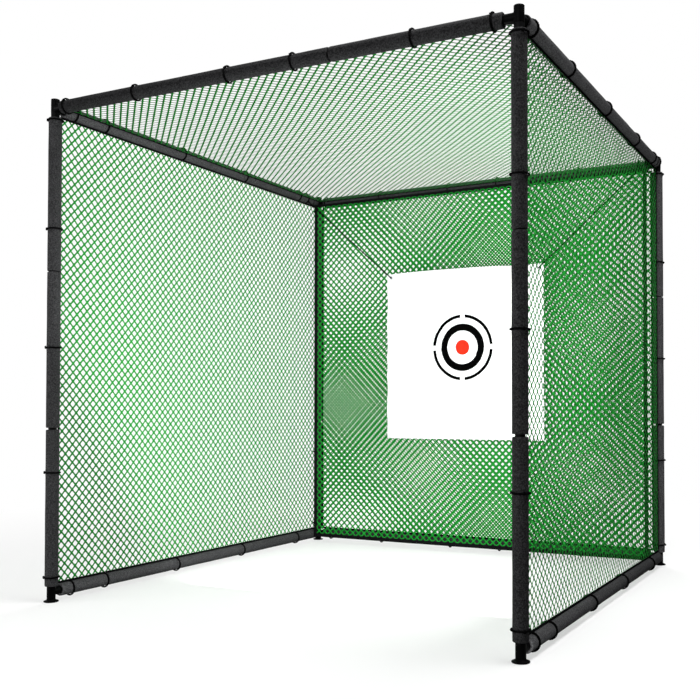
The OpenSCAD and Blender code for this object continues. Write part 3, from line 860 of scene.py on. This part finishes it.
panels = {
    # name: origin at the corner between centrelines, eu, ev, size, seed
    "left": ((-PX, -PY, ZB), (0, 1, 0), (0, 0, 1), (2 * PY, ZT - ZB), 1, 0.0, 0.0030),
    "right": ((PX, -PY, ZB), (0, 1, 0), (0, 0, 1), (2 * PY, ZT - ZB), 2, 0.0, 0.0025),
    "back": ((-PX, PY, ZB), (1, 0, 0), (0, 0, 1), (2 * PX, ZT - ZB), 3, 0.0, 0.0006),
    "roof": ((-PX, -PY, ZT), (1, 0, 0), (0, 1, 0), (2 * PX, 2 * PY), 4, 0.014, 0.0020),
}
for key, (o, eu, ev, (U, V), seed, sag, depth) in panels.items():
    o, eu, ev = np.array(o), np.array(eu, float), np.array(ev, float)
    en = np.cross(eu, ev)
    m = E + 0.0066                       # the mesh ends inside the tape
    panel_net(f"{key}_net", o + (eu + ev) * m, eu, ev, U - 2 * m, V - 2 * m, depth, seed, sag, f"{key}_mesh",
              0.0047 if key == "right" else STRAND_W)
    pile = Pile()
    corners = [o + eu * E + ev * E, o + eu * (U - E) + ev * E, o + eu * (U - E) + ev * (V - E), o + eu * E + ev * (V - E)]
    tape(pile, corners, [BW] * 4, 0.0066, en)
    piece(pile.object(f"{key}_border_tape", uv=True), "cage", MAT["tape"], "net_border", f"{key}_net_border")

# ---- the loose impact net, with its wider border and top hem
IW = imp_hi.x - imp_lo.x
rope_lo, rope_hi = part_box("impact_net_rope")
Z_HEM = imp_hi.z - 0.0065
IB, IT = 0.029, 0.012      # the border's width, and the part of it below the hem
Z0, Z1 = imp_lo.z, Z_HEM


def billow(P):
    """Shallow vertical folds in the hanging net, growing from its top rope."""
    P = np.array(P, float)
    x, z = P[..., 0], P[..., 2]
    g = np.clip((Z_HEM - z) / 0.5, 0, 1) ** 1.5
    low = np.clip((z - Z0) / (Z1 - Z0), 0, 1)
    w = 0.0012 * g * (np.sin(5.1 * x + 0.6 + 0.5 * z) + 0.45 * np.sin(11.3 * x - 0.7 * z + 1.3)) + 0.0006 * g * np.sin(3.3 * z + 1.1 * x)
    out = P.copy()
    out[..., 1] += w
    # the top and side edges draw in a little between their corners
    out[..., 0] *= 1 - 0.0012 * np.sin(np.pi * low)
    return out


# whole meshes that end inside the border
nu, nv = int((IW - 0.006) / PITCH), int((Z1 - Z0 - 0.012) / PITCH)
U, V = nu * PITCH, Z1 - Z0 - 0.008 - 0.0235
origin = np.array([(imp_lo.x + imp_hi.x - U) / 2, Y_IMP, Z0 + 0.0235])


def place_impact(u, v):
    P = origin + u[:, None] * np.array([1.0, 0, 0]) + v[:, None] * np.array([0, 0, 1.0])
    return billow(P), np.repeat(np.array([[0, -1.0, 0]]), len(u), 0)


ob = lattice("impact_mesh", nu, nv, PITCH, V / nv, place_impact, KNOT_R, STRAND_W, STRAND_T)
piece(ob, "impact_net", MAT["net"], "netting", "impact_net")

pile = Pile()
x0, x1 = imp_lo.x, imp_hi.x
tape(pile, [(x0, Y_IMP, Z0), (x1, Y_IMP, Z0), (x1, Y_IMP, Z1 - 0.002), (x0, Y_IMP, Z1 - 0.002)], [IB, IB, IT, IB],
     0.0062, (0, -1, 0), billow)
# rolled hem round the top rope: a hollow sleeve
K = 18
a = np.arange(K) * 2 * np.pi / K
xs = np.linspace(x0, x1, 90)
ro, ri = 0.0066, 0.0044
wob = 1 + 0.05 * np.sin(xs * 60)
rings = []
for x, w in zip(xs, wob):
    rings.append(np.stack([np.full(K, x), Y_IMP + ro * w * np.cos(a), Z_HEM + ro * w * np.sin(a)], -1))
for x in xs[::-1]:
    rings.append(np.stack([np.full(K, x), Y_IMP + ri * np.cos(a), Z_HEM + ri * np.sin(a)], -1))
rings = np.stack(rings)
uv = np.stack([rings[..., 0] - x0, np.repeat((a * ro)[None], len(rings), 0)], -1)
pile.add(rings.reshape(-1, 3), grid_faces(len(rings), K, wrap_r=True), uv=uv.reshape(-1, 2))
piece(pile.object("impact_border_tape", uv=True), "impact_net", MAT["tape"], "net_border", "impact_net_border")


# ---------------------------------------------------------------- ropes and loops
def loop_path(beam_x, y, apex, ring_r, step=0.004):
    """A closed cord path round a side beam that comes to a point at apex."""
    c = np.array([beam_x, ZT])
    v = np.array([apex[0], apex[1]]) - c
    A = np.linalg.norm(v)
    th = math.atan2(v[1], v[0])
    t = math.acos(ring_r / A)
    a = np.linspace(th + t, th + 2 * np.pi - t, 60)
    arc = np.stack([c[0] + ring_r * np.cos(a), np.full(60, y), c[1] + ring_r * np.sin(a)], -1)
    tip = np.array([apex[0], y, apex[1]])
    u = (tip - np.array([c[0], y, c[1]])) / A
    tip = tip - u * 0.002
    leg1 = path_points([arc[-1], tip], 0.005)[1:]
    leg2 = path_points([tip, arc[0]], 0.005)[1:-1]
    return np.concatenate([arc, leg1, leg2])


KNOT = 0.008                       # radius of the knot on a target loop
CORD = 0.0057                      # radius of the target's cord
LOOP = FOAM_R + 0.0045             # radius of a loop's middle line round the foam
anchor = {}
for isl in islands("target_cord_loops"):
    s = 1 if isl[:, 0].mean() > 0 else -1
    # the knot reaches furthest from the beam's axis
    beam = np.array([s * PX, (isl[:, 1].min() + isl[:, 1].max()) / 2, ZT])
    off = (isl - beam) * [1, 0, 1]
    far = off[np.argmax(np.linalg.norm(off, axis=1))]
    L = np.linalg.norm(far)
    anchor[s] = beam + far / L * (L - KNOT)

pile = Pile()
for s in (-1, 1):
    A = anchor[s]
    a = np.linspace(0, 2 * np.pi, 76, endpoint=False)
    pts = np.stack([s * PX + LOOP * np.cos(a), A[1] + 0.0012 * np.sin(2 * a), ZT + LOOP * np.sin(a)], -1)
    cord(pile, pts, CORD, 0.022, plies=3, k=6, closed=True)
    knot(pile, A, 0.0088, 0.0032, (0.2, 1, 0.1), 0.7 * s)
    knot(pile, A + [0, 0.0008, 0], 0.0074, 0.0030, (s, 0.2, 0.4), 1.9)
piece(pile.object("target_cord_tie_loops"), "cage", MAT["cord"], "target_cord", "target_cord_loops")

pile = Pile()
j = next(j for j in frame["joints"] if j["name"] == "impact_net_swing")
hx = (rope_hi.x - rope_lo.x) / 2
apex_x = PX - 0.062 * math.cos(math.radians(60))
cord(pile, path_points([(-apex_x, Y_IMP, Z_HEM), (apex_x, Y_IMP, Z_HEM)], 0.006), 0.0039, 0.022, plies=3, k=6)
for s in (-1, 1):
    pts = loop_path(s * PX, Y_IMP, (s * apex_x, Z_HEM), LOOP)
    cord(pile, pts, 0.0025, 0.012, plies=3, k=6, closed=True)
    knot(pile, (s * apex_x, Y_IMP, Z_HEM), 0.0085, 0.0029, (s, 0.2, 0.3), 0.4)
piece(pile.object("impact_net_top_rope"), "cage", MAT["rope"], "rope", "impact_net_rope")

eye = {}
for isl in islands("target_eyelets"):
    c = (isl.min(0) + isl.max(0)) / 2
    eye[1 if c[0] > 0 else -1] = c
RUN = 0.008                        # the cord comes down this far in front of the sheet
for s, side in ((-1, "left"), (1, "right")):
    A, Ec = anchor[s], eye[s]
    front = Ec + np.array([0, -RUN, 0])
    u = (front - A) / np.linalg.norm(front - A)
    line = path_points([A + u * 0.0075, front - u * 0.004], 0.006)
    f = lengths(line) / lengths(line)[-1]
    line[:, 2] -= 0.0035 * 4 * f * (1 - f)
    a = np.linspace(0, 1, 9)[:, None]
    turn = (1 - a) ** 2 * (front - u * 0.004) + 2 * a * (1 - a) * (front + [0, 0.0003, 0]) + a ** 2 * (Ec + [0, -0.002, 0])
    pts = np.concatenate([line[:-1], turn, [Ec + [0, 0.003, 0], Ec + [0, 0.008, 0]]])
    pile = Pile()
    cord(pile, pts, CORD, 0.022, plies=3, k=6)
    knot(pile, Ec + np.array([0, 0.0125, 0]), 0.0082, 0.0031, (0.3, 1, 0.1), 0.5)
    piece(pile.object(f"target_cord_{side}_line"), "target_cords", MAT["cord"], "target_cord", f"target_cord_{side}")


# ---------------------------------------------------------------- target sheet
def sheet_material(S):
    """White woven cloth with a printed ring target, hems and stitching.
    uv is in metres from the sheet's lower left corner."""
    m, nt, b = node_mat("target_cloth")
    uv = nd(nt, "ShaderNodeUVMap", uv_map="run")
    sep = nd(nt, "ShaderNodeSeparateXYZ")
    nt.links.new(uv.outputs["UV"], sep.inputs[0])
    s, t = sep.outputs[0], sep.outputs[1]
    # woven threads
    wx = math_node(nt, "SINE", math_node(nt, "MULTIPLY", s, 2 * math.pi / 0.0022))
    wy = math_node(nt, "SINE", math_node(nt, "MULTIPLY", t, 2 * math.pi / 0.0022))
    weave = math_node(nt, "MULTIPLY", wx, wy)
    fine = noise_tex(nt, obj_coords(nt), 700, 3, 0.6)
    broad = noise_tex(nt, obj_coords(nt), 2.5, 3, 0.6)
    white = ramp(nt, broad, [(0.3, (0.70, 0.705, 0.715)), (0.7, (0.76, 0.76, 0.765))])
    shade = map_range(nt, weave, -1, 1, 0.965, 1.0)
    comb = nd(nt, "ShaderNodeCombineColor")
    for i in range(3):
        nt.links.new(shade, comb.inputs[i])
    white = mix_rgb(nt, 1.0, white, comb.outputs[0], "MULTIPLY")
    # rings
    cx, cy = S / 2, S / 2 + 0.048
    dx = math_node(nt, "SUBTRACT", s, cx)
    dy = math_node(nt, "SUBTRACT", t, cy)
    r = math_node(nt, "SQRT", math_node(nt, "ADD", math_node(nt, "MULTIPLY", dx, dx), math_node(nt, "MULTIPLY", dy, dy)))
    ink_edge = math_node(nt, "ADD", r, math_node(nt, "MULTIPLY", math_node(nt, "SUBTRACT", fine, 0.5), 0.0006))

    def band(lo, hi):
        a = math_node(nt, "GREATER_THAN", ink_edge, lo)
        c = math_node(nt, "LESS_THAN", ink_edge, hi)
        return math_node(nt, "MULTIPLY", a, c)

    thick = band(0.132, 0.187)
    outer = band(0.2345, 0.2595)
    gap = math_node(nt, "MINIMUM", math_node(nt, "ABSOLUTE", dx), math_node(nt, "ABSOLUTE", dy))
    outer = math_node(nt, "MULTIPLY", outer, math_node(nt, "GREATER_THAN", gap, 0.019))
    dot = math_node(nt, "LESS_THAN", ink_edge, 0.059)
    # printed on the front only
    facing = nd(nt, "ShaderNodeSeparateXYZ")
    nt.links.new(nd(nt, "ShaderNodeTexCoord").outputs["Normal"], facing.inputs[0])
    front = math_node(nt, "LESS_THAN", facing.outputs[1], 0.0)
    black = math_node(nt, "MULTIPLY", math_node(nt, "MAXIMUM", thick, outer), front)
    dot = math_node(nt, "MULTIPLY", dot, front)
    ink = ramp(nt, fine, [(0.3, (0.0004, 0.0004, 0.0005)), (0.7, (0.0010, 0.0010, 0.0011))])
    col = mix_rgb(nt, black, white, ink)
    red = ramp(nt, fine, [(0.3, (0.62, 0.018, 0.008)), (0.7, (0.72, 0.026, 0.012))])
    col = mix_rgb(nt, dot, col, red)
    # hem: a fold 22 mm wide, and two rows of stitches
    ex = math_node(nt, "MINIMUM", s, math_node(nt, "SUBTRACT", S, s))
    ey = math_node(nt, "MINIMUM", t, math_node(nt, "SUBTRACT", S, t))
    edge = math_node(nt, "MINIMUM", ex, ey)
    line1 = math_node(nt, "LESS_THAN", math_node(nt, "ABSOLUTE", math_node(nt, "SUBTRACT", edge, 0.0205)), 0.0007)
    line2 = math_node(nt, "LESS_THAN", math_node(nt, "ABSOLUTE", math_node(nt, "SUBTRACT", edge, 0.0045)), 0.0007)
    run = math_node(nt, "ADD", s, t)
    dash = math_node(nt, "GREATER_THAN", math_node(nt, "FRACT", math_node(nt, "DIVIDE", run, 0.0070)), 0.32)
    st = math_node(nt, "MULTIPLY", math_node(nt, "MAXIMUM", line1, line2), dash)
    col = mix_rgb(nt, math_node(nt, "MULTIPLY", st, 0.35), col, (0.55, 0.56, 0.58))
    nt.links.new(col, b.inputs["Base Color"])
    b.inputs["Roughness"].default_value = 0.85
    b.inputs["Specular IOR Level"].default_value = 0.01
    h = math_node(nt, "ADD", math_node(nt, "MULTIPLY", weave, 0.25), math_node(nt, "MULTIPLY", fine, 0.4))
    h = math_node(nt, "SUBTRACT", h, math_node(nt, "MULTIPLY", st, 1.2))
    add_bump(nt, b, h, 0.4, 0.0005)
    return m


S = sheet_hi.x - sheet_lo.x
NS = 108


def sheet_grid(n):
    u = np.linspace(0, S, n + 1)
    X, Z = np.meshgrid(u, u, indexing="ij")
    return X, Z


def drape():
    """Lets the sheet hang from its eyelets as cloth and returns how far each
    point of an NS by NS grid moved."""
    X, Z = sheet_grid(NS)
    v = np.stack([sheet_lo.x + X, np.full_like(X, Y_TGT), sheet_lo.z + Z], -1).reshape(-1, 3)
    g = np.random.default_rng(3)
    start = v.copy()
    start[:, 1] += g.uniform(-1, 1, len(v)) * 0.0006 + 0.004 * np.sin(X.ravel() * 7.0 + 1.0) * np.sin(Z.ravel() * 2.0)
    ob = make_mesh("drape", start, grid_faces(NS + 1, NS + 1, wrap_c=False))
    pins = ob.vertex_groups.new(name="pin")
    for s in (-1, 1):
        d = np.linalg.norm((v - eye[s])[:, [0, 2]], axis=1)
        for i in np.nonzero(d < 0.016)[0]:
            pins.add([int(i)], 1.0, "REPLACE")
    md = ob.modifiers.new("Cloth", "CLOTH")
    cs = md.settings
    cs.quality = 6
    cs.mass = 0.00006
    cs.tension_stiffness = 40
    cs.compression_stiffness = 20
    cs.shear_stiffness = 10
    cs.bending_stiffness = 0.35
    cs.tension_damping = 15
    cs.compression_damping = 15
    cs.shear_damping = 15
    cs.bending_damping = 2.0
    cs.air_damping = 3.0
    cs.vertex_group_mass = "pin"
    md.collision_settings.use_collision = False
    md.collision_settings.use_self_collision = False
    sc = bpy.context.scene
    f0 = sc.frame_current
    sc.frame_start, sc.frame_end = 1, 60
    md.point_cache.frame_start, md.point_cache.frame_end = 1, 60
    for f in range(1, 46):
        sc.frame_set(f)
    dg = bpy.context.evaluated_depsgraph_get()
    me = ob.evaluated_get(dg).to_mesh()
    co = np.zeros(len(me.vertices) * 3)
    me.vertices.foreach_get("co", co)
    co = co.reshape(-1, 3)
    move = (co - v).reshape(NS + 1, NS + 1, 3)
    ob.evaluated_get(dg).to_mesh_clear()
    bpy.data.objects.remove(ob)
    sc.frame_set(f0)
    return move


move = drape()
print("drape: moved by up to", np.abs(move).max(axis=(0, 1)))


def cap(a, lim):
    return lim * np.tanh(a / lim)


move[..., 0] = cap(move[..., 0], 0.006)
move[..., 1] = cap(move[..., 1], 0.007)
move[..., 2] = cap(move[..., 2], 0.008)

# finer sheet: each cell of the draped grid split in two, smoothly
def refine(a):
    n = a.shape[0]
    out = np.zeros((2 * n - 1,) + a.shape[1:])
    out[::2] = a
    pad = np.concatenate([2 * a[:1] - a[1:2], a, 2 * a[-1:] - a[-2:-1]])
    out[1::2] = (-pad[:-3] + 9 * pad[1:-2] + 9 * pad[2:-1] - pad[3:]) / 16
    return out


fine = refine(refine(move).transpose(1, 0, 2)).transpose(1, 0, 2)
n2 = fine.shape[0]
X, Z = sheet_grid(n2 - 1)
mid_pts = np.stack([sheet_lo.x + X, np.full_like(X, Y_TGT), sheet_lo.z + Z], -1) + fine
du = np.gradient(mid_pts, axis=0)
dv = np.gradient(mid_pts, axis=1)
nrm = np.cross(dv, du)
nrm /= np.linalg.norm(nrm, axis=-1)[..., None]      # towards -Y or +Y
if nrm[..., 1].mean() > 0:
    nrm = -nrm
edge = np.minimum(np.minimum(X, S - X), np.minimum(Z, S - Z))
th = np.where(edge < 0.022, 0.00125, 0.00065)
# the edge of the hem's fold and the stitched dips
th = th * (0.86 + 0.14 * np.clip(np.abs(edge - 0.0205) / 0.004, 0, 1))
front = mid_pts + nrm * th[..., None]
back = mid_pts - nrm * th[..., None]
nn = n2 * n2
verts = np.concatenate([front.reshape(-1, 3), back.reshape(-1, 3)])
qf = grid_faces(n2, n2, wrap_c=False)
c0 = front.reshape(-1, 3)[qf[0]]
if np.dot(np.cross(c0[1] - c0[0], c0[2] - c0[1]), [0, -1, 0]) < 0:
    qf = qf[:, ::-1]
qb = qf[:, ::-1] + nn
# holes at the eyelets
uvq = np.stack([X, Z], -1).reshape(-1, 2)
cent = uvq[qf].mean(1)
holes = np.zeros(len(qf), bool)
for s in (-1, 1):
    e = np.array([eye[s][0] - sheet_lo.x, eye[s][2] - sheet_lo.z])
    holes |= np.linalg.norm(cent - e, axis=1) < 0.0075
qf, qb = qf[~holes], qb[~holes]
# walls along every open edge of the front face set
edges = np.concatenate([qf[:, [0, 1]], qf[:, [1, 2]], qf[:, [2, 3]], qf[:, [3, 0]]])
key = edges[:, 0].astype(np.int64) * nn + edges[:, 1]
rev = edges[:, 1].astype(np.int64) * nn + edges[:, 0]
open_e = edges[~np.isin(key, rev)]
walls = np.stack([open_e[:, 1], open_e[:, 0], open_e[:, 0] + nn, open_e[:, 1] + nn], -1)
quads = np.concatenate([qf, qb, walls])
used = np.unique(quads)
remap = -np.ones(len(verts), int)
remap[used] = np.arange(len(used))
pile = Pile()
pile.add(verts[used], remap[quads], uv=np.concatenate([uvq, uvq])[used])
ob = pile.object("target_cloth", uv=True)
piece(ob, "target_sheet", sheet_material(S), "target_cloth", "target_sheet")
dress(NODES["target_eyelets"], MAT["eyelet"])

# ---------------------------------------------------------------- stage
sc = bpy.context.scene
me = bpy.data.meshes.new("floor")
F = 60.0
me.from_pydata([(-F, -F, 0), (F, -F, 0), (F, F, 0), (-F, F, 0)], [], [(0, 1, 2, 3)])
floor = bpy.data.objects.new("floor", me)
sc.collection.objects.link(floor)
fm, nt, b = node_mat("floor")
b.inputs["Roughness"].default_value = 0.9
b.inputs["Specular IOR Level"].default_value = 0.1
em = nd(nt, "ShaderNodeEmission")
far = nd(nt, "ShaderNodeVectorMath", operation="LENGTH")
nt.links.new(obj_coords(nt), far.inputs[0])
mx = nd(nt, "ShaderNodeMixShader")
lp = nd(nt, "ShaderNodeLightPath")
nt.links.new(mix_rgb(nt, lp.outputs["Is Camera Ray"], (0.22, 0.22, 0.22), (0.93, 0.93, 0.93)), b.inputs["Base Color"])
nt.links.new(math_node(nt, "MULTIPLY", map_range(nt, far.outputs["Value"], 1.5, 6.0, 0.5, 1.0), lp.outputs["Is Camera Ray"]), mx.inputs[0])
nt.links.new(b.outputs[0], mx.inputs[1])
nt.links.new(em.outputs[0], mx.inputs[2])
nt.links.new(mx.outputs[0], nt.nodes["Material Output"].inputs["Surface"])
dress(floor, fm)

world = bpy.data.worlds.new("studio")
sc.world = world
world.use_nodes = True
bg = world.node_tree.nodes["Background"]
bg.inputs["Color"].default_value = (1, 1, 1, 1)
# white to the camera; as a light it is softer, and dimmer from the right, so
# that the foam keeps its shape and the right-hand net shows its shaded face
wn = world.node_tree
lp = wn.nodes.new("ShaderNodeLightPath")
sep = wn.nodes.new("ShaderNodeSeparateXYZ")
wn.links.new(wn.nodes.new("ShaderNodeTexCoord").outputs["Generated"], sep.inputs[0])
dim = map_range(wn, sep.outputs[0], -0.6, 0.6, 0.34, 0.06)
wn.links.new(math_node(wn, "MAXIMUM", lp.outputs["Is Camera Ray"], dim), bg.inputs["Strength"])


def area(name, loc, target, size, power):
    li = bpy.data.lights.new(name, "AREA")
    li.shape = "SQUARE"
    li.size = size
    li.energy = power
    ob = bpy.data.objects.new(name, li)
    sc.collection.objects.link(ob)
    ob.location = loc
    d = Vector(target) - Vector(loc)
    ob.rotation_euler = d.to_track_quat("-Z", "Y").to_euler()
    return ob


area("key", (0.8, -10.0, 4.0), (0, 1.0, 1.4), 4.0, 300)
area("fill", (-6.0, -6.0, 2.0), (-1.0, 0.5, 1.5), 3.0, 260)
area("top", (2.5, -0.8, 6.8), (1.4, 0.0, 1.5), 2.5, 430)
area("rear", (-3.5, 8.5, 3.2), (0.0, 1.2, 1.5), 4.0, 700)
# light from inside, as the bay's own lamps would give
area("inner_side", (1.2, 0.0, 1.6), (-1.4, 0.0, 1.8), 2.3, 54).visible_camera = False
area("inner_back", (0.0, -1.1, 0.75), (0.0, 1.4, 2.2), 2.2, 88).visible_camera = False


def only(light, names, state="INCLUDE"):
    """Keep a light to some pieces, or keep it off them."""
    col = bpy.data.collections.new(light.name + "_receivers")
    for n in names:
        col.objects.link(bpy.data.objects[n])
    for link in col.collection_objects:
        link.light_linking.link_state = state
    light.light_linking.receiver_collection = col
    light.visible_camera = False


# the black foam alone gets some more, or it loses its roundness beside the nets
only(area("foam_right", (6.0, -1.0, 0.8), (1.475, 0.3, 1.8), 4.0, 420),
     ["right_top_beam_foam_sleeves", "back_right_post_foam_sleeves"])
only(area("foam_inside", (2.0, -4.0, 1.2), (-1.0, 0.5, 1.8), 2.5, 440),
     ["left_top_beam_foam_sleeves", "left_bottom_beam_foam_sleeves", "back_top_beam_foam_sleeves", "right_bottom_beam_foam_sleeves"])
only(area("foam_left", (1.0, -4.5, 1.5), (-1.475, -1.475, 1.5), 2.5, 75), ["front_left_post_foam_sleeves"])
only(bpy.data.objects["fill"], ["front_top_beam_foam_sleeves"], "EXCLUDE")
only(bpy.data.objects["inner_back"], ["roof_mesh"], "EXCLUDE")

cam_d = bpy.data.cameras.new("camera")
cam = bpy.data.objects.new("camera", cam_d)
sc.collection.objects.link(cam)
cam.location = (2.95485, -5.52259, 1.09510 + ZB)
cam.rotation_euler = (math.pi / 2 + 0.0232097, 0.0, 0.4657994)
cam_d.sensor_width = 36.0
cam_d.lens = 48.294
cam_d.shift_x = -0.08768
cam_d.shift_y = 0.05019
cam_d.clip_start = 0.05
cam_d.clip_end = 300.0
sc.camera = cam
sc.view_settings.view_transform = "Standard"
